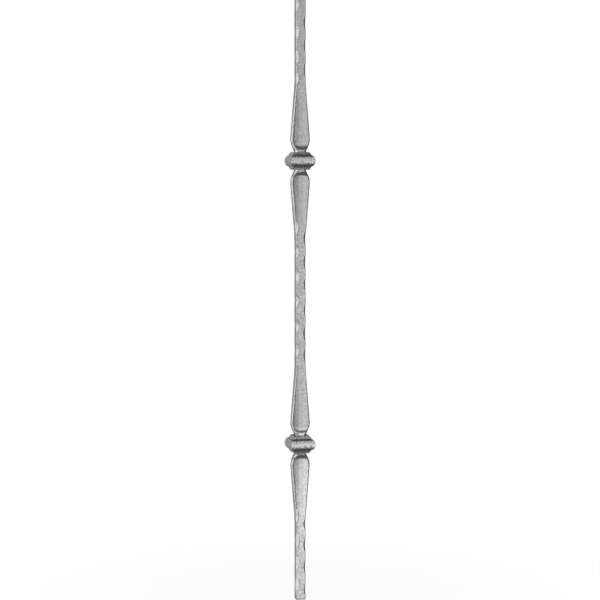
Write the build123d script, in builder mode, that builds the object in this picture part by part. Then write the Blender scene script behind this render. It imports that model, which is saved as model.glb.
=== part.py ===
from build123d import *
from math import cos, radians, sin, sqrt
import os

# Wrought iron baluster: a square bar with hammered corners, drawn out into a flat leaf above and
# below each of two square forged collars. Millimetres. The origin is the centre of the bottom end,
# +Z runs up the bar, the leaves spread along X and their broad faces look along Y.

# Bar
bar_length = 900.0
bar_side = 14.0
bar_ease = 0.8             # leg of the small flat that rolling leaves on each corner
collar_from_end = 237.5    # from each end of the bar to the middle of its collar

# Collar, square in plan: a swollen bead between two sloped tiers
collar_height = 26.4
collar_side = 38.7         # across the bead at its fullest
bead_height = 15.6
bead_swell = 3.0           # how far the bead stands out beyond its own upper and lower edges
bead_corner = 2.5
tier_step = 1.5            # step in from the bead's edge to the tier
tier_slope = 3.15          # how far a tier narrows up to the collar's end face
tier_corner = 2.0
collar_fit = 0.05          # clearance on each side between the neck and the collar's hole

# Neck, where the bar passes through a collar
neck_width = 17.0
neck_thickness = 15.5
neck_chamfer = 4.0
neck_show_side = 1.75      # neck seen past the collar on the narrow sides
neck_show_face = 3.5       # neck seen past the collar on the broad faces
neck_round = 1.0

# Leaf, measured along the bar from the neck out
leaf_width = 30.1          # across the shoulders before they are rounded
leaf_thickness = 11.4      # at the middle of the broad faces
leaf_chamfer = 2.6         # leg before the broad faces are crowned
leaf_rise = 12.0           # from the neck out to the shoulder
leaf_taper = 91.0          # from the shoulder down to the plain bar
face_rise = 5.5            # slope between the neck and the leaf's broad face
shoulder_round = 12.0
taper_round = 300.0
crown_flat = 6.4           # flat strip along the middle of each broad face
crown_angle = 5.0          # tilt of the broad face from that strip out to the leaf's edge

# Hammer dents along the corners: two deep rows in front, two shallow rows behind
front_dent = 4.0           # leg of the flat that a front dent cuts off the corner, at its deepest
back_dent = 1.2
dent_radius = 18.0
dent_reach = 98.0          # nearest that a dent's centre comes to the middle of a collar
bottom_left = (24.0, 34.5)     # first dent above the bottom end, then the pitch
bottom_right = (15.5, 33.8)
middle_left = (143.3, 36.6)    # first dent above the middle of the lower collar, then the pitch
middle_right = (134.0, 35.0)
top_left = (9.0, 36.5)         # first dent below the top end, then the pitch
top_right = (31.0, 36.3)

# Places along the bar: heights of the collars, and distances from a collar's middle
lower_middle = collar_from_end
upper_middle = bar_length - collar_from_end
neck_end = collar_height / 2 + neck_show_side
neck_face_end = collar_height / 2 + neck_show_face
shoulder_at = neck_end + leaf_rise
face_at = neck_face_end + face_rise
leaf_end = shoulder_at + leaf_taper


def corner_out(width, thickness, chamfer):
    """Distance from the bar's axis to the flat of a chamfered corner."""
    return (width / 2 + thickness / 2 - chamfer) / sqrt(2)


def crown_out(width, thickness):
    """Distance from the bar's axis to a tilted half of a broad face that starts at width."""
    tilt = radians(crown_angle)
    return width / 2 * sin(tilt) + thickness / 2 * cos(tilt)


def outline(turn, neck, leaf, bar, rounds):
    """The whole bar's outline on an upright plane, turned from +X about the bar's axis.

    neck, leaf and bar are corners of the outline beside a collar, each a distance from the axis
    and a distance from the collar's middle, and rounds are the radii there.
    """
    aim = radians(turn)
    upright = Plane((0, 0, 0), x_dir=(cos(aim), sin(aim), 0), z_dir=(sin(aim), -cos(aim), 0))
    corners = (neck, leaf, bar)
    edge = [(bar[0], 0)]
    for middle in (lower_middle, upper_middle):
        edge += [(out, middle - away) for out, away in reversed(corners)]
        edge += [(out, middle + away) for out, away in corners]
    edge += [(bar[0], bar_length)]
    radii = (tuple(reversed(rounds)) + rounds) * 2
    with BuildSketch(upright) as view:
        with BuildLine():
            side = FilletPolyline(*edge, radius=radii)
            mirror(side, about=Plane.YZ)
            Line((-bar[0], 0), (bar[0], 0))
            Line((-bar[0], bar_length), (bar[0], bar_length))
        make_face()
    return view.sketch


def corner_at(height):
    """Distance from the bar's axis to its eased corner at a height, clear of the collars."""
    away = min(abs(height - lower_middle), abs(height - upper_middle))
    widening = max(0, leaf_end - away) / leaf_taper
    leaf_corner = corner_out(leaf_width, leaf_thickness, leaf_chamfer)
    bar_corner = corner_out(bar_side, bar_side, bar_ease)
    return bar_corner + widening * (leaf_corner - bar_corner)


def spaced(row, run):
    """Distances of a row's dents that fit in a run."""
    first, pitch = row
    return [first + pitch * step for step in range(int((run - first) // pitch) + 1)]


def dent_heights(bottom, middle, top):
    """Heights of one corner's dents, in the bottom, middle and top stretches of the bar."""
    end_run = collar_from_end - dent_reach
    middle_run = upper_middle - lower_middle - dent_reach
    heights = spaced(bottom, end_run)
    heights += [lower_middle + up for up in spaced(middle, middle_run)]
    heights += [bar_length - down for down in spaced(top, end_run)]
    return heights


def forged_collar(middle):
    """A collar with its middle at a height on the bar."""
    bead_edge = collar_side - 2 * bead_swell
    tier_side = bead_edge - 2 * tier_step
    end_side = tier_side - 2 * tier_slope
    with BuildPart() as collar:
        for view, combine in ((Plane.XZ, Mode.ADD), (Plane.YZ, Mode.INTERSECT)):
            with BuildSketch(view.shift_origin((0, 0, middle))):
                with BuildLine():
                    swell = ThreePointArc(
                        (bead_edge / 2, -bead_height / 2),
                        (collar_side / 2, 0),
                        (bead_edge / 2, bead_height / 2),
                    )
                    mirror(swell, about=Plane.YZ)
                    Line((-bead_edge / 2, -bead_height / 2), (bead_edge / 2, -bead_height / 2))
                    Line((-bead_edge / 2, bead_height / 2), (bead_edge / 2, bead_height / 2))
                make_face()
            extrude(amount=collar_side, both=True, mode=combine)
        fillet(collar.edges().filter_by(GeomType.LINE, reverse=True), bead_corner)
        for way in (-1, 1):
            with BuildSketch(Plane.XY.offset(middle + way * bead_height / 2)):
                RectangleRounded(tier_side, tier_side, tier_corner)
            with BuildSketch(Plane.XY.offset(middle + way * collar_height / 2)):
                RectangleRounded(end_side, end_side, tier_corner)
            loft()
        with BuildSketch(Plane.XY.offset(middle)) as hole:
            Rectangle(neck_width + 2 * collar_fit, neck_thickness + 2 * collar_fit)
            chamfer(hole.vertices(), neck_chamfer)
        extrude(amount=collar_height, both=True, mode=Mode.SUBTRACT)
    return collar.part


os.makedirs("parts", exist_ok=True)

# The bar's four kinds of outline: its width, its thickness, its crowned faces and its corners
width_view = (
    (neck_width / 2, neck_end),
    (leaf_width / 2, shoulder_at),
    (bar_side / 2, leaf_end),
    (neck_round, shoulder_round, taper_round),
)
thickness_view = (
    (neck_thickness / 2, neck_face_end),
    (leaf_thickness / 2, face_at),
    (bar_side / 2, leaf_end),
    (neck_round, 0, taper_round),
)
crown_view = (
    (crown_out(neck_width, neck_thickness), neck_face_end),
    (crown_out(crown_flat, leaf_thickness), face_at),
    (crown_out(bar_side, bar_side), leaf_end),
    (neck_round, 0, taper_round),
)
corner_view = (
    (corner_out(neck_width, neck_thickness, neck_chamfer), neck_end),
    (corner_out(leaf_width, leaf_thickness, leaf_chamfer), shoulder_at),
    (corner_out(bar_side, bar_side, bar_ease), leaf_end),
    (neck_round, shoulder_round, taper_round),
)

left_heights = dent_heights(bottom_left, middle_left, top_left)
right_heights = dent_heights(bottom_right, middle_right, top_right)

with BuildPart() as bar:
    extrude(outline(0, *width_view), amount=leaf_width, both=True)
    extrude(outline(90, *thickness_view), amount=leaf_width, both=True, mode=Mode.INTERSECT)
    for way in (-1, 1):
        crown = outline(way * (90 - crown_angle), *crown_view)
        extrude(crown, amount=leaf_width, both=True, mode=Mode.INTERSECT)
        corner = outline(way * 45, *corner_view)
        extrude(corner, amount=leaf_width, both=True, mode=Mode.INTERSECT)
    for side_x, heights in ((-1, left_heights), (1, right_heights)):
        for side_y, leg in ((-1, front_dent), (1, back_dent)):
            stand_off = dent_radius - (leg - bar_ease) / sqrt(2)
            places = [(corner_at(height) + stand_off, height) for height in heights]
            with BuildSketch(Plane((0, 0, 0), (side_x, side_y, 0), (side_y, -side_x, 0))):
                with Locations(*places):
                    Circle(dent_radius)
            extrude(amount=bar_side, both=True, mode=Mode.SUBTRACT)

bar.part.label = "bar"
export_step(bar.part, "parts/bar.step")

for name, middle in (("lower_collar", lower_middle), ("upper_collar", upper_middle)):
    collar_part = forged_collar(middle)
    collar_part.label = name
    export_step(collar_part, f"parts/{name}.step")
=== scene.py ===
import random
from math import asin, cos, pi, radians, sin, sqrt
from typing import NamedTuple

import bmesh
import bpy
from bpy.props import FloatProperty, FloatVectorProperty, IntProperty, PointerProperty
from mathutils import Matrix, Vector


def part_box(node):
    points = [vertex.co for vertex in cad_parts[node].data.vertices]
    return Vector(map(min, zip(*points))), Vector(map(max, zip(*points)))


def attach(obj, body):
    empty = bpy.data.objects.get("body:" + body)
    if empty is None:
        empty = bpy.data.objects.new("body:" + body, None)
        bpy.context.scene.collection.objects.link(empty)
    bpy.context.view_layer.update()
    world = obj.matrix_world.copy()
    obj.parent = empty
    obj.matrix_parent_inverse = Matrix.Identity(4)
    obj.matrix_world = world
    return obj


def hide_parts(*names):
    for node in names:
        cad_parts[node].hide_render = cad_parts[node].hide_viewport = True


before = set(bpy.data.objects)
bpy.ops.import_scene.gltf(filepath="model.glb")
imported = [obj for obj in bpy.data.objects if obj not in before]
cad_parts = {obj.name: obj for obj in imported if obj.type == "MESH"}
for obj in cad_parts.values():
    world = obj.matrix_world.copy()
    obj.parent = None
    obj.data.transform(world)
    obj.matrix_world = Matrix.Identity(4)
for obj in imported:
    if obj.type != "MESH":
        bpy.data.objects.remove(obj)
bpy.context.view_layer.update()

bl_info = {
    "name": "Wrought Iron Baluster",
    "version": (1, 0, 0),
    "blender": (4, 5, 0),
    "location": "View3D > Sidebar > Baluster",
    "description": "Models a hammered square baluster with two forged collars",
    "category": "Add Mesh",
}

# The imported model: the whole box, and the boxes of the bar and of one collar
BAR_LOW, BAR_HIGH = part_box("bar")
COLLAR_LOW, COLLAR_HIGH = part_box("lower_collar")
COLLARS = ("lower_collar", "upper_collar")

# Heights closer than this count as one
TOUCH = 0.00001

# Points round the bar's section, which is the same in each quarter, and sections along each leaf
SECTION_POINTS = 16
QUARTERS = 4
LEAF_STEPS = 26

# How softly a leaf turns into the plain bar and into the slope by its neck, in metres, and how far across
# a broad face its edge starts to roll off
TAPER_EASE = 0.001
SLOPE_EASE = 0.0004
ROLL_START = 0.75

# Heights of the hammer blows along the left and right corners, in millimetres above the bottom end
LEFT_BLOWS = (24, 56, 90, 128, 381, 416, 454, 491, 527, 564, 784, 816, 852, 892)
RIGHT_BLOWS = (15, 50, 84, 116, 372, 405, 440, 478, 512, 548, 798, 833, 867)

# How much of a point's normal points to a side when the point is on it: from not at all to wholly
BROAD_FACE = (0.6, 0.8)
NARROW_SIDE = (0.74, 0.84)
NECK_FRONT = (0.45, 0.65)
NECK_CHAMFER = (0.45, 0.6)
PAST_CHAMFER = (0.8, 0.95)
COLLAR_FRONT = (0.45, 0.8)
END_FACE = (0.7, 0.9)

# Where a mask of the iron goes from nothing to one
HOLLOW_RELIEF = (0.42, 0.5)
STRUCK_RELIEF = (0.51, 0.6)
BRUSHED_CLEAN = (0.36, 0.62)
PAINTED_SHADE = (0.15, 0.9)
PAINTED_HIGHLIGHT = (0.05, 0.4)

# Brush lines, and flakes that break up the painted shade, to a metre, and how the brush draws its lines
# out along the bar
BRUSH_LINES = 900.0
SHADE_FLAKES = 170.0
BRUSH_DRAWN = (1.0, 1.0, 0.05)

# Soft edges of the backdrop and the ceiling, as cosines of the angle from their middles
BACKDROP_EDGE = (0.45, 0.65)
CEILING_EDGE = (0.77, 0.86)

# How white the camera sees the floor by the bar's foot, and where it turns all white, in metres
FOOT_WHITE = 0.96
FOOT_END = (0.1, 0.6)

# How grazing a look along the floor is when the floor shines
FLOOR_SHINE = (0.5, 0.85)

# The white paper by the bar: its far end and its two soft edges in metres, and their turns in degrees
PAPER_END = (0.7, 1.0)
PAPER_EDGE = (0.002, 0.02)
PAPER_TURNS = (-60, 60)
WHITE = (1, 1, 1, 1)


class Lamp(NamedTuple):
    """A soft lamp: its place around the bar, with the azimuth in degrees, and the size of its face."""

    name: str
    azimuth: float
    distance: float
    height: float
    width: float
    tall: float
    faces_up: bool = False


LAMPS = (
    Lamp("right_lamp", azimuth=33, distance=1.1, height=0.965, width=1.23, tall=1.87),
    Lamp("back_lamp", azimuth=143, distance=1.1, height=0.93, width=0.55, tall=1.8),
    Lamp("half_lamp", azimuth=29, distance=1.05, height=0.27, width=0.95, tall=0.5),
    Lamp("left_lamp", azimuth=-76, distance=1.1, height=0.93, width=0.9, tall=1.8),
    Lamp("low_right_lamp", azimuth=29, distance=0.3, height=0.09, width=0.26, tall=0.17),
    Lamp("low_left_lamp", azimuth=-76, distance=0.3, height=0.09, width=0.26, tall=0.17),
    Lamp("floor_lamp", azimuth=-76, distance=0.14, height=0.002, width=0.22, tall=0.22, faces_up=True),
)


def length(name, description, default):
    """A length property of the add-on, in metres."""
    return FloatProperty(
        name=name, description=description, default=default, unit="LENGTH", precision=4
    )


def share(name, description, default):
    """A property of the add-on that runs from nothing to all."""
    return FloatProperty(
        name=name, description=description, default=default, min=0, max=1, subtype="FACTOR"
    )


def angle(name, description, degrees):
    """An angle property of the add-on."""
    return FloatProperty(
        name=name, description=description, default=radians(degrees), subtype="ANGLE"
    )


def grey(name, description, level):
    """A colour property of the add-on that starts as a plain grey."""
    return FloatVectorProperty(
        name=name, description=description, default=(level, level, level), subtype="COLOR", min=0, max=1
    )


def power(name, description, watts):
    """A property of the add-on for the power of a lamp."""
    return FloatProperty(name=name, description=description, default=watts, min=0)


class BarSizes(bpy.types.PropertyGroup):
    """Sizes of the square bar, its necks and its leaves."""

    height: length("Height", "From the bottom end to the top end", BAR_HIGH[2] - BAR_LOW[2])
    side: length("Side", "Across the plain square bar", 0.014)
    ease: length("Corner ease", "Small flat on the corners of the plain bar", 0.0012)
    neck_width: length("Neck width", "Across the neck inside a collar, along X", 0.017)
    neck_thickness: length("Neck thickness", "Through the neck inside a collar, along Y", 0.0155)
    neck_chamfer: length("Neck chamfer", "Flat on the corners of the neck", 0.004)
    neck_side: length("Neck showing at the sides", "Neck past the collar on the narrow sides", 0.00175)
    neck_face: length("Neck showing in front", "Neck past the collar on the broad faces", 0.0031)
    leaf_width: length("Leaf width", "Across the shoulders before they are rounded", 0.0301)
    leaf_thickness: length("Leaf thickness", "Through the middle of the leaf's shoulders", 0.0114)
    leaf_chamfer: length("Leaf chamfer", "Flat on the long edges of the leaf", 0.002)
    leaf_rise: length("Leaf rise", "From the neck out to the shoulders", 0.012)
    leaf_taper: length("Leaf taper", "From the shoulders out to the plain bar", 0.091)
    face_rise: length("Face rise", "Slope between the neck and the broad face", 0.0064)
    face_tongue: length("Face tongue", "How much further out the face's edges start", 0.002)
    crown_flat: length("Crown flat", "Level strip along the middle of the broad face", 0.0064)
    crown_drop: length("Crown drop", "Fall of the broad face from that strip to its rolled edge", 0.0007)
    roll_drop: length("Roll drop", "Further fall where that edge rolls off", 0.0006)
    shoulder_ease: length("Shoulder ease", "How softly the shoulders turn", 0.0045)
    grid: length("Mesh grid", "Size of the mesh's faces before it is thinned", 0.0005)
    triangles: IntProperty(name="Triangles", description="Most triangles in the bar", default=180000)


class DentSizes(bpy.types.PropertyGroup):
    """Sizes of the hammer dents along the corners of the bar."""

    radius: length("Hammer radius", "Radius of the hammer's rounded peen", 0.029)
    face: length("Hammer face", "Length of the peen across the corner", 0.014)
    left: length("Left dent", "Depth of a dent on the front left corner", 0.0021)
    right: length("Right dent", "Depth of a dent on the front right corner", 0.0017)
    back: length("Back dent", "Depth of a dent on the back corners", 0.0005)
    swing: angle("Swing", "How far the blows on the front corners swing to the right about the bar", 4)
    slant: angle("Slant", "Most that a blow leans from square to the bar", 7)
    spread: share("Spread of depth", "How much the depth differs from blow to blow", 0.2)
    seed: IntProperty(name="Seed", description="Start of the row of blows", default=7)


class CollarSizes(bpy.types.PropertyGroup):
    """Sizes of a square forged collar."""

    height: length("Height", "From end face to end face", COLLAR_HIGH[2] - COLLAR_LOW[2])
    side: length("Side", "Across the bead at its fullest", COLLAR_HIGH[0] - COLLAR_LOW[0])
    bead_height: length("Bead height", "Height of the swollen middle", 0.0156)
    bead_swell: length("Bead swell", "How far the bead stands out beyond its edges", 0.003)
    step: length("Step", "Step in from the bead's edge to the tier", 0.0018)
    slope: length("Tier slope", "How far a tier narrows to the end face", 0.0029)
    corner: length("Corner round", "Rounding of the four upright corners", 0.0012)
    tier_round: length("Tier round", "How far a tier swells beyond a straight slope", 0.0006)
    fit: length("Fit", "Clearance between the neck and the collar's hole", 0.0001)
    grid: length("Mesh grid", "Size of the finished mesh's faces", 0.00035)


class IronFinish(bpy.types.PropertyGroup):
    """Finish of the raw forged iron, with the colours of its painted shade and painted highlight."""

    skin: grey("Forge skin", "Darker skin that the fire leaves", 0.33)
    bright: grey("Brushed iron", "Lighter iron where the brush has reached", 0.48)
    # Colour of the painted shade in the hollows and wherever the scale attribute paints shade
    painted_shade: grey("Hollows", "Dark iron in the hollows", 0.1)
    # Colour of the wear on the bar's struck edges, and of the painted highlight on its necks
    worn_and_highlight: grey("Worn iron", "Bright iron on the bar's struck edges and rubbed necks", 0.6)
    # Colour of the wear on the collars' edges, and of the painted highlight on the crowns of the beads
    crown: grey("Rubbed crowns", "Bright iron on the collars' edges and the crowns of the beads", 0.44)
    roughness: share("Bar roughness", "Roughness of the brushed bar", 0.35)
    collar_roughness: share("Collar roughness", "Roughness of the smoother collars", 0.26)
    mottle: length("Mottle", "Size of the patches of skin", 0.003)
    grain: length("Grain", "Size of the fine pits", 0.0012)


class PaintedLightMarks(bpy.types.PropertyGroup):
    """Painted shade and painted highlight on the iron: where it is painted dark, and where it is painted
    bright.
    """

    # Painted shade in a band on the slope by each neck
    band: share("Band", "How much of the slope by a neck has a dark band", 0.83)
    short_band: share("Short band", "How much of the slope over the lower collar has it", 0.6)
    late: length("Late start", "How far past the neck that short band starts", 0.0012)
    neck_fade: length("Neck fade", "How softly a band starts by its neck", 0.001)
    band_fade: length("Band fade", "How softly a band ends on its leaf", 0.003)
    right_tongue: share("Right tongue", "How much of the face's tongue a band follows on the right", 0.3)
    # Painted highlight on the necks, on the strip past the short band and on the crowns of the beads
    highlit: share("Highlit", "How bright the rubbed necks and the crowns of the beads are", 0.8)
    highlit_lip: share("Rubbed lip", "How bright the strip past the short band is", 0.5)
    highlight_fade: length("Rub fade", "How softly the rubbed iron starts by the short band", 0.002)
    lip_width: length("Lip width", "Width of that strip, which fades over as much again", 0.003)
    # Painted shadow of the lower collar on the neck under it, and painted shade on the leaves' narrow
    # sides
    dark_neck: share("Dark neck", "How dark the neck under the lower collar is", 0.55)
    side_reach: length("Side reach", "How far along a leaf its narrow sides stay dark", 0.018)
    # The bottom end made darker
    foot: share("Foot", "How dark the bottom end is", 0.5)
    foot_start: length("Foot start", "Height where the scale on the foot starts to fade", 0.001)
    foot_end: length("Foot end", "Height where that scale is gone", 0.004)
    # Painted shade in a collar's grooves, which these call a groove's scale
    over_bead: length("Over the bead", "How far a groove's scale comes onto the bead from above", 0.0026)
    under_bead: length("Under the bead", "How far a groove's scale comes onto the bead from below", 0.0036)
    bead_fade: length("Bead fade", "How softly a groove's scale starts on the bead", 0.0018)
    rim: length("Rim", "Clean strip between a groove's scale and the end face", 0.0026)
    wide_rim: length("Wide rim", "That strip at the top of the lower collar", 0.0034)
    rim_fade: length("Rim fade", "How softly a groove's scale ends at that strip", 0.0006)
    # Painted highlight on the crown of each bead
    crown_start: length("Crown start", "Half the height of a bead's rubbed crown", 0.003)
    crown_end: length("Crown end", "Half the height at which the rubbing has faded", 0.0055)


class StudioSettings(bpy.types.PropertyGroup):
    """The floor, the lamps and the camera."""

    distance: length("Camera distance", "From the bar to the camera, along the floor", 2.7)
    camera_height: length("Camera height", "From the floor to the camera", 0.66)
    aim_height: length("Aim height", "Height on the bar that the camera looks at", 0.4546)
    azimuth: angle("Camera azimuth", "Turn of the camera about the bar", -14.5)
    lens: FloatProperty(name="Lens", description="Focal length", default=108.4, unit="CAMERA")
    floor: grey("Floor", "Pale floor under the bar", 0.4)
    room: grey("Room", "Dim room in front of the backdrop", 0.09)
    backdrop: share("Backdrop", "How much of the white backdrop the iron shows", 0.5)
    ceiling: grey("Ceiling", "Pale ceiling over the bar", 0.4)
    backdrop_turn: angle("Backdrop azimuth", "Turn of the backdrop about the bar", -165)
    paper_turn: angle("Paper azimuth", "Turn of the white paper on the floor about the bar", -75)
    right_lamp: power("Right lamp", "Power of the lamp in front on the right", 8)
    back_lamp: power("Back lamp", "Power of the lamp behind on the right", 1.6)
    left_lamp: power("Left lamp", "Power of the lamp on the left", 10.5)
    half_lamp: power("Half lamp", "Power of the lamp on the lower half", 0.85)
    low_right_lamp: power("Low right lamp", "Power of the right lamp at the foot", 0.16)
    low_left_lamp: power("Low left lamp", "Power of the left lamp at the foot", 0.06)
    floor_lamp: power("Floor lamp", "Power of the lamp lying by the foot", 0.17)


class Number:
    """A number socket in a node tree, on which sums are written as in Python."""

    def __init__(self, shading, socket):
        self.shading = shading
        self.socket = socket

    def combined(self, operation, first, second):
        """The result of a Math node on two numbers."""
        return self.shading.number("ShaderNodeMath", {"operation": operation}, {0: first, 1: second})

    def __add__(self, other):
        return self.combined("ADD", self, other)

    def __radd__(self, other):
        return self.combined("ADD", other, self)

    def __sub__(self, other):
        return self.combined("SUBTRACT", self, other)

    def __rsub__(self, other):
        return self.combined("SUBTRACT", other, self)

    def __mul__(self, other):
        return self.combined("MULTIPLY", self, other)

    def __rmul__(self, other):
        return self.combined("MULTIPLY", other, self)


class Shading:
    """The nodes of a finish, of the floor or of the world."""

    def __init__(self, tree):
        self.tree = tree
        tree.nodes.clear()

    def node(self, kind, settings, sockets):
        """A new node, its settings made first and its sockets then given values or links."""
        made = self.tree.nodes.new(kind)
        for name, value in settings.items():
            setattr(made, name, value)
        for name, value in sockets.items():
            if isinstance(value, Number):
                value = value.socket
            if isinstance(value, bpy.types.NodeSocket):
                self.tree.links.new(value, made.inputs[name])
            else:
                made.inputs[name].default_value = value
        return made

    def number(self, kind, settings, sockets, output=0):
        """A number that a new node gives."""
        return Number(self, self.node(kind, settings, sockets).outputs[output])

    def between(self, value, low, high):
        """Nothing below low, one above high, and a smooth way from one to the other."""
        ends = {"Value": value, "From Min": low, "From Max": high}
        return self.number("ShaderNodeMapRange", {"interpolation_type": "SMOOTHSTEP"}, ends)

    def noise(self, place, scale, detail, roughness=0.5):
        """Noise over a place, with this many features to a metre."""
        sockets = {"Vector": place, "Scale": scale, "Detail": detail, "Roughness": roughness}
        return self.number("ShaderNodeTexNoise", {}, sockets)

    def along(self, vector, direction):
        """How far a vector runs along a direction."""
        product = {"operation": "DOT_PRODUCT"}
        return self.number("ShaderNodeVectorMath", product, {0: vector, 1: direction}, "Value")

    def ray(self, kind):
        """One for a ray of a kind, and nothing for the others."""
        return self.number("ShaderNodeLightPath", {}, {}, kind)

    def blend(self, mask, without, within):
        """A colour that goes from one to another as a mask goes from nothing to one."""
        mixed = self.node("ShaderNodeMix", {"data_type": "RGBA"}, {0: mask, 6: without, 7: within})
        return mixed.outputs[2]

    def layered(self, mask, without, within):
        """The shader of one node that goes over to another's as a mask goes from nothing to one."""
        ends = {0: mask, 1: without.outputs[0], 2: within.outputs[0]}
        return self.node("ShaderNodeMixShader", {}, ends)


def opaque(colour):
    """A colour property as the four numbers that a socket takes."""
    return (*colour, 1.0)


def forged_iron(name, finish, worn_and_highlight, roughness, hammered, relief_strength):
    """Mottled grey iron: forge skin, brushed patches and bright wear on struck edges, with painted shade
    in its hollows and painted shade and highlight where the mesh's scale attribute marks them.
    """
    material = bpy.data.materials.new(name)
    material.use_nodes = True
    iron = Shading(material.node_tree)
    place = iron.node("ShaderNodeTexCoord", {}, {}).outputs["Object"]

    # Patches of skin, fine pits, and the lines that a wire brush leaves along the bar
    patches = iron.noise(place, 1 / finish.mottle, detail=5.0, roughness=0.62)
    pits = iron.noise(place, 1 / finish.grain, detail=3.0, roughness=0.6)
    drawn = iron.node("ShaderNodeMapping", {}, {"Vector": place, "Scale": BRUSH_DRAWN})
    brushed = iron.noise(drawn.outputs[0], BRUSH_LINES, detail=2.0)
    clean = iron.between(0.7 * patches + 0.2 * pits + 0.1 * brushed, *BRUSHED_CLEAN)
    colour = iron.blend(clean, opaque(finish.skin), opaque(finish.bright))

    # Bright wear where the mesh has a struck edge, and painted shade in its hollows
    relief = iron.node("ShaderNodeNewGeometry", {}, {}).outputs["Pointiness"]
    struck = iron.between(relief, *STRUCK_RELIEF)
    painted_shade = 1 - iron.between(relief, *HOLLOW_RELIEF)
    colour = iron.blend(struck * 0.5, colour, opaque(worn_and_highlight))
    colour = iron.blend(painted_shade * 0.6, colour, opaque(finish.painted_shade))

    # Painted shade, broken into flakes, where the mesh's scale attribute is above nothing, and painted
    # highlight where it is below nothing
    painted_amount = iron.number("ShaderNodeAttribute", {"attribute_name": "scale"}, {}, "Fac")
    broken = iron.noise(place, SHADE_FLAKES, detail=4.0)
    scale = iron.between(painted_amount + (broken - 0.5), *PAINTED_SHADE)
    highlit = iron.between(-0.5 * painted_amount + 0.4 * (patches - 0.5), *PAINTED_HIGHLIGHT)
    colour = iron.blend(scale * 0.92, colour, opaque(finish.painted_shade))
    colour = iron.blend(highlit, colour, opaque(worn_and_highlight))
    rough = roughness + 0.06 * (1 - clean) * (1 - highlit) + 0.06 * (pits - 0.5) + 0.15 * scale

    bump = iron.node("ShaderNodeBump", {}, {
        "Strength": relief_strength,
        "Distance": 0.0003,
        "Height": 0.6 * pits + 0.25 * brushed + hammered * patches,
    })
    surface = iron.node("ShaderNodeBsdfPrincipled", {}, {
        "Base Color": colour,
        "Roughness": rough,
        "Metallic": 0.9,
        "Normal": bump.outputs[0],
    })
    iron.node("ShaderNodeOutputMaterial", {}, {"Surface": surface.outputs[0]})
    return material


def start_with(add, **settings):
    """A new primitive, alone in the selection, with its turn and place taken into its mesh."""
    if bpy.context.object and bpy.context.object.mode != "OBJECT":
        bpy.ops.object.mode_set(mode="OBJECT")
    bpy.ops.object.select_all(action="DESELECT")
    add(**settings)
    bpy.ops.object.transform_apply(location=True, rotation=True, scale=True)
    return bpy.context.object


def pick(piece, numbers):
    """Select only these points of a mesh in edit mode."""
    mesh = bmesh.from_edit_mesh(piece.data)
    wanted = set(numbers)
    for face in mesh.faces:
        face.select = False
    for edge in mesh.edges:
        edge.select = False
    for point in mesh.verts:
        point.select = point.index in wanted
    mesh.select_flush(True)
    bmesh.update_edit_mesh(piece.data)


def pick_upright_edges(piece):
    """Select only the edges of a mesh in edit mode that aren't level."""
    bpy.ops.mesh.select_mode(type="EDGE")
    mesh = bmesh.from_edit_mesh(piece.data)
    for edge in mesh.edges:
        edge.select = abs(edge.verts[0].co.z - edge.verts[1].co.z) > TOUCH
    mesh.select_flush_mode()
    bmesh.update_edit_mesh(piece.data)


def ring_at(piece, height):
    """Numbers of the points at a height, from the middle of the bar's broad faces outwards."""
    mesh = bmesh.from_edit_mesh(piece.data)
    mesh.verts.index_update()
    ring = [point for point in mesh.verts if abs(point.co.z - height) < TOUCH]
    ring.sort(key=lambda point: abs(point.co.x))
    return [point.index for point in ring]


def stretch(piece, numbers, out_x, out_y, height):
    """Spread some points of a ring so that they stand this far out from the bar's axis."""
    pick(piece, numbers)
    mesh = bmesh.from_edit_mesh(piece.data)
    mesh.verts.ensure_lookup_table()
    first = mesh.verts[numbers[0]].co
    bpy.ops.transform.resize(
        value=(out_x / abs(first.x), out_y / abs(first.y), 1), center_override=(0, 0, height)
    )


def raise_ring(piece, low, high):
    """Extrude the face at one height up to another."""
    pick(piece, ring_at(piece, low))
    bpy.ops.mesh.extrude_region_move(TRANSFORM_OT_translate={"value": (0, 0, high - low)})


def close_up():
    """Turn all the faces of the mesh in edit mode outwards and leave edit mode."""
    bpy.ops.mesh.select_all(action="SELECT")
    bpy.ops.mesh.normals_make_consistent(inside=False)
    bpy.ops.object.mode_set(mode="OBJECT")


def modify(piece, kind, **settings):
    """Add a modifier to a piece and apply it."""
    bpy.context.view_layer.objects.active = piece
    change = piece.modifiers.new(kind.lower(), kind)
    for name, value in settings.items():
        setattr(change, name, value)
    bpy.ops.object.modifier_apply(modifier=change.name)


def cut_away(piece, cutter):
    """Take a cutter's shape out of a piece and delete the cutter."""
    modify(piece, "BOOLEAN", operation="DIFFERENCE", solver="EXACT", object=cutter)
    bpy.data.objects.remove(cutter, do_unlink=True)


def even_out(piece, grid):
    """Give a piece a new mesh of even small faces, with its edges slightly softened."""
    modify(piece, "REMESH", mode="VOXEL", voxel_size=grid)
    modify(piece, "SMOOTH", factor=0.5, iterations=1)


def uneven(piece, pattern, size, depth, **settings):
    """Work a piece's surface in and out by a pattern of a size, to a depth."""
    texture = bpy.data.textures.new(piece.name + "_" + pattern.lower(), pattern)
    texture.noise_scale = size
    for name, value in settings.items():
        setattr(texture, name, value)
    modify(piece, "DISPLACE", texture=texture, texture_coords="LOCAL", strength=depth, mid_level=0.5)
    bpy.data.textures.remove(texture)


def finish_piece(piece, node, material):
    """Give a finished piece its material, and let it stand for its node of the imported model."""
    bpy.ops.object.select_all(action="DESELECT")
    piece.select_set(True)
    bpy.context.view_layer.objects.active = piece
    bpy.ops.object.shade_smooth()
    piece.data.materials.clear()
    piece.data.materials.append(material)
    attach(piece, "root")
    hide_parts(node)


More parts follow.
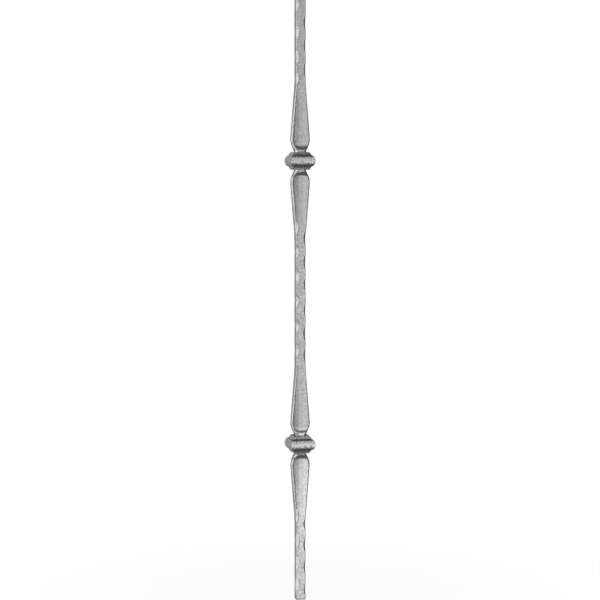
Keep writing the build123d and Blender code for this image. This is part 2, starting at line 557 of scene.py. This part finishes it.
def eased_least(first, second, ease):
    """The smaller of two sizes, with a soft turn where they cross."""
    near = max(0, ease - abs(first - second)) / ease
    return min(first, second) - near * near * ease / 4


def eased_most(first, second, ease):
    """The larger of two sizes, with a soft turn where they cross."""
    return -eased_least(-first, -second, ease)


def part_way(value, low, high):
    """How far a value is from low to high: nothing before low and one after high."""
    return min(1, max(0, (value - low) / (high - low)))


def soft_step(value, low, high):
    """Nothing below low, one above high, and a smooth way from one to the other."""
    part = part_way(value, low, high)
    return part * part * (3 - 2 * part)


def section(sizes, collar_half, away):
    """Corners of the bar's section at a distance from a collar's middle.

    They are the end of the crown's flat, the start of the broad face's rolled edge, that edge and the
    edge of the narrow side.
    """
    plain = sizes.side / 2
    neck_end = collar_half + sizes.neck_side
    face_end = collar_half + sizes.neck_face
    shoulder = neck_end + sizes.leaf_rise
    face_start = face_end + sizes.face_rise
    leaf_end = shoulder + sizes.leaf_taper

    narrow = sizes.neck_width / 2
    wide = sizes.leaf_width / 2
    rising = narrow + (wide - narrow) * (away - neck_end) / sizes.leaf_rise
    falling = plain + (wide - plain) * (leaf_end - away) / sizes.leaf_taper
    falling = eased_most(falling, plain, TAPER_EASE)
    half_width = eased_least(rising, falling, sizes.shoulder_ease)
    if away < shoulder:
        half_width = max(narrow, half_width)

    thick = sizes.neck_thickness / 2
    thin = sizes.leaf_thickness / 2
    filling = thin + (plain - thin) * (away - face_start) / (leaf_end - face_start)

    def half_thickness(rise):
        """Half the thickness where the slope up to the neck is this long."""
        dropping = thick - (thick - thin) * (away - face_end) / rise
        return min(thick, eased_most(dropping, min(filling, plain), SLOPE_EASE))

    into_leaf = part_way(away, neck_end, shoulder)
    out_of_leaf = part_way(away, shoulder, leaf_end)
    chamfer = sizes.neck_chamfer + (sizes.leaf_chamfer - sizes.neck_chamfer) * into_leaf
    chamfer += (sizes.ease - sizes.leaf_chamfer) * out_of_leaf
    flat = sizes.crown_flat / 2
    face = half_width - chamfer
    fall = into_leaf * (1 - out_of_leaf)
    crown = half_thickness(sizes.face_rise)
    roll = half_thickness(sizes.face_rise + sizes.face_tongue / 2) - sizes.crown_drop * fall
    edge = half_thickness(sizes.face_rise + sizes.face_tongue)
    edge -= (sizes.crown_drop + sizes.roll_drop) * fall
    return (
        (flat, crown),
        (flat + (face - flat) * ROLL_START, roll),
        (face, edge),
        (half_width, edge - chamfer),
    )


def collar_middles():
    """Heights of the middles of the two collars."""
    boxes = [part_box(name) for name in COLLARS]
    return [(low[2] + high[2]) / 2 for low, high in boxes]


def bar_stations(sizes, collar_half):
    """Heights along the bar where its section is set, each with its distance from a collar."""
    nearest = collar_half + sizes.neck_side
    furthest = nearest + sizes.leaf_rise + sizes.leaf_taper
    shares = [(step / LEAF_STEPS) ** 2 for step in range(LEAF_STEPS + 1)]
    aways = [nearest + (furthest - nearest) * part for part in shares]
    stations = [(0, furthest)]
    for middle in collar_middles():
        stations += [(middle - away, away) for away in reversed(aways)]
        stations += [(middle + away, away) for away in aways]
    stations.append((sizes.height, furthest))
    return stations


def forge_bar(sizes, collar_half):
    """The bar, drawn up from its bottom end through the leaves and necks."""
    bar = start_with(
        bpy.ops.mesh.primitive_circle_add,
        vertices=SECTION_POINTS,
        radius=sizes.side / 2,
        fill_type="NGON",
        rotation=(0, 0, pi / SECTION_POINTS),
    )
    bar.name = "hammered_bar"
    bpy.ops.object.mode_set(mode="EDIT")
    bpy.ops.mesh.select_mode(type="VERT")
    reached = None
    for height, away in bar_stations(sizes, collar_half):
        if reached is not None:
            raise_ring(bar, reached, height)
        ring = ring_at(bar, height)
        for order, (out_x, out_y) in enumerate(section(sizes, collar_half, away)):
            corners = ring[order * QUARTERS:(order + 1) * QUARTERS]
            stretch(bar, corners, out_x, out_y, height)
        reached = height
    close_up()
    return bar


def corner_reach(sizes, collar_half, height):
    """Distance from the bar's axis out to the flat of its corner at a height."""
    away = min(abs(height - middle) for middle in collar_middles())
    face, side = section(sizes, collar_half, away)[2:]
    return (face[0] + face[1] + side[0] + side[1]) / 2 / sqrt(2)


def hammer_blows(sizes, dents, collar_half, first):
    """The hammer's peen at every other blow along the four corners, as one cutter."""
    chance = random.Random(dents.seed + first)
    peens = []
    for side_x, row, front in ((-1, LEFT_BLOWS, dents.left), (1, RIGHT_BLOWS, dents.right)):
        for side_y, deep, swing in ((-1, front, dents.swing), (1, dents.back, 0)):
            across = pi / 4 + side_x * swing
            turn = across if side_x == side_y else -across
            for blow in row[first::2]:
                height = blow / 1000
                depth = deep * (1 + dents.spread * chance.uniform(-1, 1))
                lean = dents.slant * chance.uniform(-1, 1)
                out = corner_reach(sizes, collar_half, height) + dents.radius - depth
                peens.append(start_with(
                    bpy.ops.mesh.primitive_cylinder_add,
                    vertices=64,
                    radius=dents.radius,
                    depth=dents.face,
                    location=(side_x * out * sin(across), side_y * out * cos(across), height),
                    rotation=(pi / 2 + lean, 0, -pi / 2 - turn),
                ))
    bpy.ops.object.select_all(action="DESELECT")
    for peen in peens:
        peen.select_set(True)
    bpy.context.view_layer.objects.active = peens[0]
    bpy.ops.object.join()
    return peens[0]


def paint_shade_and_highlight(piece, amount):
    """Keep on a piece, in its scale attribute, how much painted shade each of its points gets, with
    painted highlight as less than none.
    """
    scale = piece.data.attributes.new("scale", "FLOAT", "POINT")
    for point, mark in zip(piece.data.vertices, scale.data):
        mark.value = amount(point.co, point.normal)


def necks_shade_and_highlight(sizes, marks, collar_half):
    """How much painted shade the bar gets: in bands by the necks, on the leaves' narrow sides and under
    the lower collar, and how much darker its bottom end is.

    An amount below nothing is a painted highlight on the necks and on a strip over the lower collar.
    """
    lower, upper = collar_middles()
    start = collar_half + sizes.neck_face

    def amount(place, normal):
        near = min(abs(place.z - lower), abs(place.z - upper))
        over_lower = lower < place.z < (lower + upper) / 2
        front = abs(normal.y)

        # Painted shade in a band on the slope by a neck, which follows the curved end of the broad face;
        # over the lower collar the band starts later and is shorter, with painted highlight on the neck
        # before it and on a strip after it
        tongue = sizes.face_tongue * (place.x / sizes.neck_width * 2) ** 2
        away = near - (tongue if place.x < 0 else marks.right_tongue * tongue)
        first = start + (marks.late if over_lower else 0)
        last = start + (marks.short_band if over_lower else marks.band) * sizes.face_rise
        left = soft_step(away, first - marks.neck_fade, first + marks.neck_fade)
        left *= 1 - soft_step(away, last - marks.band_fade, last + marks.band_fade)
        if over_lower:
            lip = soft_step(away, last, last + marks.highlight_fade)
            lip *= 1 - soft_step(away, last + marks.lip_width, last + 2 * marks.lip_width)
            left -= marks.highlit * (1 - soft_step(away, first - marks.highlight_fade, first))
            left -= marks.highlit_lip * lip
        left *= soft_step(front, *BROAD_FACE)

        # Painted shadow of the lower collar on the neck under it, and painted highlight on the chamfers of
        # the upper collar's necks
        on_neck = 1 - soft_step(near, start - marks.neck_fade, start + marks.neck_fade)
        if place.z < lower:
            left = max(left, marks.dark_neck * on_neck * soft_step(front, *NECK_FRONT))
        elif not over_lower:
            chamfer = soft_step(front, *NECK_CHAMFER) * (1 - soft_step(front, *PAST_CHAMFER))
            left -= marks.highlit * on_neck * chamfer

        # Painted shade on the leaves' narrow sides by the necks
        side = soft_step(abs(normal.x), *NARROW_SIDE)
        side *= 1 - soft_step(near, start, start + marks.side_reach)
        # The bottom end made darker
        foot = 1 - soft_step(place.z, marks.foot_start, marks.foot_end)
        return left + side + marks.foot * foot

    return amount


def grooves_shade_and_highlight(sizes, marks, node, middle):
    """Painted shade on a collar, in the grooves beside the bead and on the end faces, and painted
    highlight, as less than none, on the bead's crown.
    """
    bead_half = sizes.bead_height / 2
    upper_rim = marks.wide_rim if node == "lower_collar" else marks.rim

    def amount(place, normal):
        over = place.z > middle
        away = abs(place.z - middle)
        # Painted shade in the grooves beside the bead, only on the front and back faces, and on the end
        # faces
        start = bead_half - (marks.over_bead if over else marks.under_bead)
        end = sizes.height / 2 - (upper_rim if over else marks.rim)
        groove = soft_step(away, start, start + marks.bead_fade)
        groove *= 1 - soft_step(away, end - marks.rim_fade, end + marks.rim_fade)
        groove *= soft_step(abs(normal.y), *COLLAR_FRONT)
        end_face = soft_step(abs(normal.z), *END_FACE)
        # Painted highlight on the crown of the bead
        highlit = 1 - soft_step(away, marks.crown_start, marks.crown_end)
        return max(end_face, groove) - marks.highlit * highlit

    return amount


class BALUSTER_OT_bar(bpy.types.Operator):
    """Forge the bar: draw out its necks and leaves, hammer its corners and roughen its skin"""

    bl_idname = "baluster.bar"
    bl_label = "Forge the Bar"

    def execute(self, context):
        sizes = context.scene.baluster_bar
        dents = context.scene.baluster_dents
        marks = context.scene.baluster_scale
        finish = context.scene.baluster_iron
        collar_half = context.scene.baluster_collar.height / 2
        bar = forge_bar(sizes, collar_half)
        for first in (0, 1):
            cut_away(bar, hammer_blows(sizes, dents, collar_half, first))
        even_out(bar, sizes.grid)
        uneven(bar, "CLOUDS", size=0.014, depth=0.0003)
        uneven(bar, "CLOUDS", size=0.004, depth=0.00006)
        modify(bar, "DECIMATE", ratio=min(1, sizes.triangles / (2 * len(bar.data.polygons))))
        paint_shade_and_highlight(bar, necks_shade_and_highlight(sizes, marks, collar_half))
        iron = forged_iron(
            "forged_bar_iron", finish, finish.worn_and_highlight, finish.roughness,
            hammered=0.4, relief_strength=0.2,
        )
        finish_piece(bar, "bar", iron)
        return {"FINISHED"}


def collar_outline(sizes):
    """Heights from a collar's middle, going up, each with how far out from the axis the collar stands."""
    half = sizes.height / 2
    bead_half = sizes.bead_height / 2
    bead_edge = sizes.side / 2 - sizes.bead_swell
    tier = bead_edge - sizes.step
    end = tier - sizes.slope
    step_rise = 0.0002
    tier_foot = bead_half + step_rise
    tier_middle = (half + tier_foot) / 2
    swollen = (tier + end) / 2 + sizes.tier_round
    outline = [(-half, end), (-tier_middle, swollen), (-tier_foot, tier)]
    arc = (bead_half ** 2 + sizes.bead_swell ** 2) / (2 * sizes.bead_swell)
    reach = asin(bead_half / arc)
    turns = 14
    for turn in range(turns + 1):
        swing = reach * (2 * turn / turns - 1)
        outline.append((arc * sin(swing), sizes.side / 2 - arc * (1 - cos(swing))))
    return outline + [(tier_foot, tier), (tier_middle, swollen), (half, end)]


def forge_collar(sizes, bar_sizes, name, middle):
    """A collar drawn up through its lower tier, its bead and its upper tier, with its hole cut."""
    (reached, end), *rest = collar_outline(sizes)
    collar = start_with(
        bpy.ops.mesh.primitive_plane_add, size=2 * end, location=(0, 0, middle + reached)
    )
    collar.name = name
    bpy.ops.object.mode_set(mode="EDIT")
    bpy.ops.mesh.select_mode(type="VERT")
    for up, out in rest:
        raise_ring(collar, middle + reached, middle + up)
        stretch(collar, ring_at(collar, middle + up), out, out, middle + up)
        reached = up
    pick_upright_edges(collar)
    bpy.ops.mesh.bevel(
        offset=sizes.corner, offset_type="OFFSET", segments=4, profile=0.5, affect="EDGES"
    )
    close_up()

    hole = start_with(
        bpy.ops.mesh.primitive_cube_add,
        size=1,
        location=(0, 0, middle),
        scale=(
            bar_sizes.neck_width + 2 * sizes.fit,
            bar_sizes.neck_thickness + 2 * sizes.fit,
            2 * sizes.height,
        ),
    )
    bpy.ops.object.mode_set(mode="EDIT")
    pick_upright_edges(hole)
    bpy.ops.mesh.bevel(offset=bar_sizes.neck_chamfer, offset_type="OFFSET", segments=1, affect="EDGES")
    close_up()
    cut_away(collar, hole)
    return collar


class BALUSTER_OT_collars(bpy.types.Operator):
    """Forge the two collars: a square bead between two tiers, dressed with small hammer marks"""

    bl_idname = "baluster.collars"
    bl_label = "Forge the Collars"

    def execute(self, context):
        sizes = context.scene.baluster_collar
        marks = context.scene.baluster_scale
        finish = context.scene.baluster_iron
        iron = forged_iron(
            "forged_collar_iron", finish, finish.crown, finish.collar_roughness,
            hammered=0.8, relief_strength=0.4,
        )
        for node, middle in zip(COLLARS, collar_middles()):
            collar = forge_collar(sizes, context.scene.baluster_bar, "forged_" + node, middle)
            even_out(collar, sizes.grid)
            uneven(collar, "CLOUDS", size=0.008, depth=0.0002)
            uneven(collar, "VORONOI", size=0.0026, depth=0.00034, distance_metric="DISTANCE_SQUARED")
            paint_shade_and_highlight(collar, grooves_shade_and_highlight(sizes, marks, node, middle))
            finish_piece(collar, node, iron)
        return {"FINISHED"}


def aimed(item, place, target):
    """Put a lamp or the camera at a place and turn it to a target."""
    item.location = place
    item.rotation_euler = (Vector(target) - Vector(place)).to_track_quat("-Z", "Y").to_euler()


def round_the_bar(azimuth, distance, height):
    """A place around the bar, with azimuth 0 in front."""
    return (sin(azimuth) * distance, -cos(azimuth) * distance, height)


def hang_lamp(lamp, watts):
    """A soft lamp with a rectangular face that looks level at the bar or straight up."""
    light = bpy.data.lights.new(lamp.name, "AREA")
    light.shape = "RECTANGLE"
    light.size = lamp.width
    light.size_y = lamp.tall
    light.energy = watts
    item = bpy.data.objects.new(lamp.name, light)
    bpy.context.scene.collection.objects.link(item)
    item.visible_camera = False
    place = round_the_bar(radians(lamp.azimuth), lamp.distance, lamp.height)
    target = (place[0], place[1], 1) if lamp.faces_up else (0, 0, lamp.height)
    aimed(item, place, target)


def set_camera(studio):
    """The camera, at its place around the bar."""
    scene = bpy.context.scene
    lens = bpy.data.cameras.new("camera")
    lens.lens = studio.lens
    camera = bpy.data.objects.new("camera", lens)
    scene.collection.objects.link(camera)
    place = round_the_bar(studio.azimuth, studio.distance, studio.camera_height)
    aimed(camera, place, (0, 0, studio.aim_height))
    scene.camera = camera


def light_the_room(studio):
    """A dim room with a pale ceiling, and a white backdrop that the camera and the iron see."""
    world = bpy.data.worlds.new("studio")
    world.use_nodes = True
    bpy.context.scene.world = world
    room = Shading(world.node_tree)
    way = room.node("ShaderNodeTexCoord", {}, {}).outputs["Generated"]
    back = round_the_bar(studio.backdrop_turn, 1, 0)
    behind = room.between(room.along(way, back), *BACKDROP_EDGE)
    ceiling = room.between(room.along(way, (0, 0, 1)), *CEILING_EDGE)
    seen = room.ray("Is Camera Ray")
    mirrored = room.ray("Is Glossy Ray")
    around = room.blend(ceiling, opaque(studio.room), opaque(studio.ceiling))
    colour = room.blend(seen + mirrored * behind * studio.backdrop, around, WHITE)
    sky = room.node("ShaderNodeBackground", {}, {"Color": colour, "Strength": 1.0})
    room.node("ShaderNodeOutputWorld", {}, {"Surface": sky.outputs[0]})


def pale_floor(studio):
    """A pale floor that looks white to the camera and keeps a soft shadow of the bar."""
    floor = start_with(bpy.ops.mesh.primitive_plane_add, size=40)
    floor.name = "floor"
    material = bpy.data.materials.new("pale_floor")
    material.use_nodes = True
    paper = Shading(material.node_tree)
    seen = paper.ray("Is Camera Ray")
    mirrored = paper.ray("Is Glossy Ray")
    place = paper.node("ShaderNodeTexCoord", {}, {}).outputs["Object"]
    from_bar = paper.number("ShaderNodeVectorMath", {"operation": "LENGTH"}, {0: place}, "Value")

    # Grey, with a shine at low angles that only the iron mirrors
    lit = paper.node("ShaderNodeBsdfDiffuse", {}, {"Color": opaque(studio.floor)})
    polish = paper.node("ShaderNodeBsdfGlossy", {}, {"Color": WHITE, "Roughness": 0.15})
    grazing = paper.number("ShaderNodeLayerWeight", {}, {"Blend": 0.5}, "Facing")
    sheen = paper.layered(mirrored * paper.between(grazing, *FLOOR_SHINE), lit, polish)

    # White to the camera, and white paper on the left that only the iron mirrors
    white = paper.node("ShaderNodeEmission", {}, {"Color": WHITE, "Strength": 1.0})
    to_camera = FOOT_WHITE + (1 - FOOT_WHITE) * paper.between(from_bar, *FOOT_END)
    beside = 1 - paper.between(from_bar, *PAPER_END)
    for turn in PAPER_TURNS:
        across = round_the_bar(studio.paper_turn + radians(turn), 1, 0)
        beside *= paper.between(paper.along(place, across), *PAPER_EDGE)
    mixed = paper.layered(seen * to_camera + mirrored * beside, sheen, white)
    paper.node("ShaderNodeOutputMaterial", {}, {"Surface": mixed.outputs[0]})
    floor.data.materials.append(material)


class BALUSTER_OT_stage(bpy.types.Operator):
    """Set the studio: a pale floor, a white backdrop, the soft lamps and the camera"""

    bl_idname = "baluster.stage"
    bl_label = "Set the Studio"

    def execute(self, context):
        studio = context.scene.baluster_studio
        pale_floor(studio)
        light_the_room(studio)
        for lamp in LAMPS:
            hang_lamp(lamp, getattr(studio, lamp.name))
        set_camera(studio)
        context.scene.view_settings.view_transform = "Standard"
        return {"FINISHED"}


class BALUSTER_PT_panel(bpy.types.Panel):
    """Sizes and finishes of the baluster, and the steps that make it"""

    bl_idname = "BALUSTER_PT_panel"
    bl_label = "Wrought Iron Baluster"
    bl_space_type = "VIEW_3D"
    bl_region_type = "UI"
    bl_category = "Baluster"

    def draw(self, context):
        for group, _ in GROUPS:
            settings = getattr(context.scene, group)
            box = self.layout.box()
            for name in settings.bl_rna.properties.keys():
                if name not in ("rna_type", "name"):
                    box.prop(settings, name)
        for step in STEPS:
            self.layout.operator(step.bl_idname)


GROUPS = (
    ("baluster_bar", BarSizes),
    ("baluster_dents", DentSizes),
    ("baluster_collar", CollarSizes),
    ("baluster_iron", IronFinish),
    ("baluster_scale", PaintedLightMarks),
    ("baluster_studio", StudioSettings),
)
STEPS = (BALUSTER_OT_bar, BALUSTER_OT_collars, BALUSTER_OT_stage)


def register():
    """Register the settings, the steps and the panel."""
    for name, group in GROUPS:
        bpy.utils.register_class(group)
        setattr(bpy.types.Scene, name, PointerProperty(type=group))
    for item in (*STEPS, BALUSTER_PT_panel):
        bpy.utils.register_class(item)


def unregister():
    """Take the panel, the steps and the settings out again."""
    for item in (BALUSTER_PT_panel, *reversed(STEPS)):
        bpy.utils.unregister_class(item)
    for name, group in reversed(GROUPS):
        delattr(bpy.types.Scene, name)
        bpy.utils.unregister_class(group)


def main():
    """Make the baluster and its studio."""
    register()
    bpy.ops.baluster.bar()
    bpy.ops.baluster.collars()
    bpy.ops.baluster.stage()


if __name__ == "__main__":
    main()
